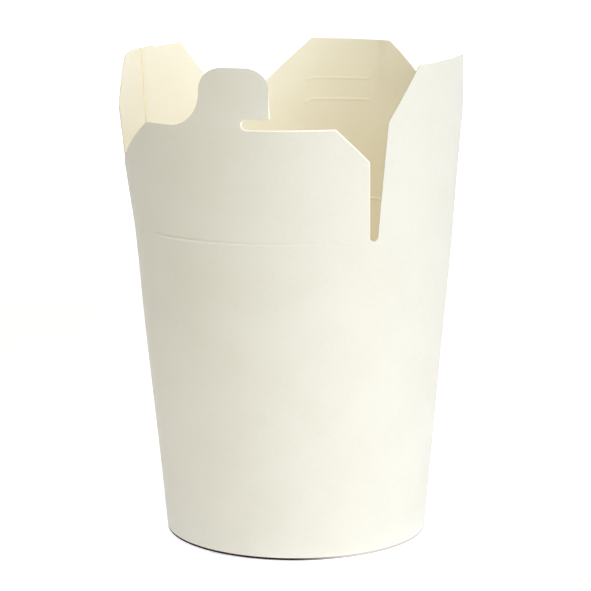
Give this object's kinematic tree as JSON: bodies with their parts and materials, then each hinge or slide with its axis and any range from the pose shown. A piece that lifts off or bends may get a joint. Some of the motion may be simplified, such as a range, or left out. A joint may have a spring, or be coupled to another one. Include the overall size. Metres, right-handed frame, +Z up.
{
  "type": "noodle takeaway box",
  "caption": "Tapered round paper-board takeaway box for noodles, open and empty, with fold-in closing flaps, a hooked locking tab and a recessed floor.",
  "frame": {"origin": "centre of the foot circle, on the surface the box stands on", "axes": "+Z up along the cup's axis; -Y faces the flap with the hooked tab; the glued side seam is at -X"},
  "size_m": [0.117, 0.1167, 0.162],
  "materials": {
    "outer_board": "off-white coated paper board, satin",
    "floor_board": "off-white coated paper board, satin"
  },
  "bodies": {
    "cup": {"wall": "outer_board", "base": "floor_board"},
    "front_panel": {"flap_front": "outer_board"},
    "right_panel": {"flap_right": "outer_board"},
    "back_panel": {"flap_back": "outer_board"},
    "left_panel": {"flap_left": "outer_board"}
  },
  "joints": [
    {"name": "front_fold", "type": "hinge", "parent": "cup", "child": "front_panel", "pos_m": [0, -0.02658, 0.1058], "axis": [-1, 0, 0], "range_deg": [0, 50]},
    {"name": "right_fold", "type": "hinge", "parent": "cup", "child": "right_panel", "pos_m": [0.04678, 0, 0.1058], "axis": [0, -1, 0], "range_deg": [0, 80]},
    {"name": "back_fold", "type": "hinge", "parent": "cup", "child": "back_panel", "pos_m": [0, 0.02658, 0.1058], "axis": [1, 0, 0], "range_deg": [0, 60]},
    {"name": "left_fold", "type": "hinge", "parent": "cup", "child": "left_panel", "pos_m": [-0.04678, 0, 0.1058], "axis": [0, 1, 0], "range_deg": [0, 95]}
  ]
}
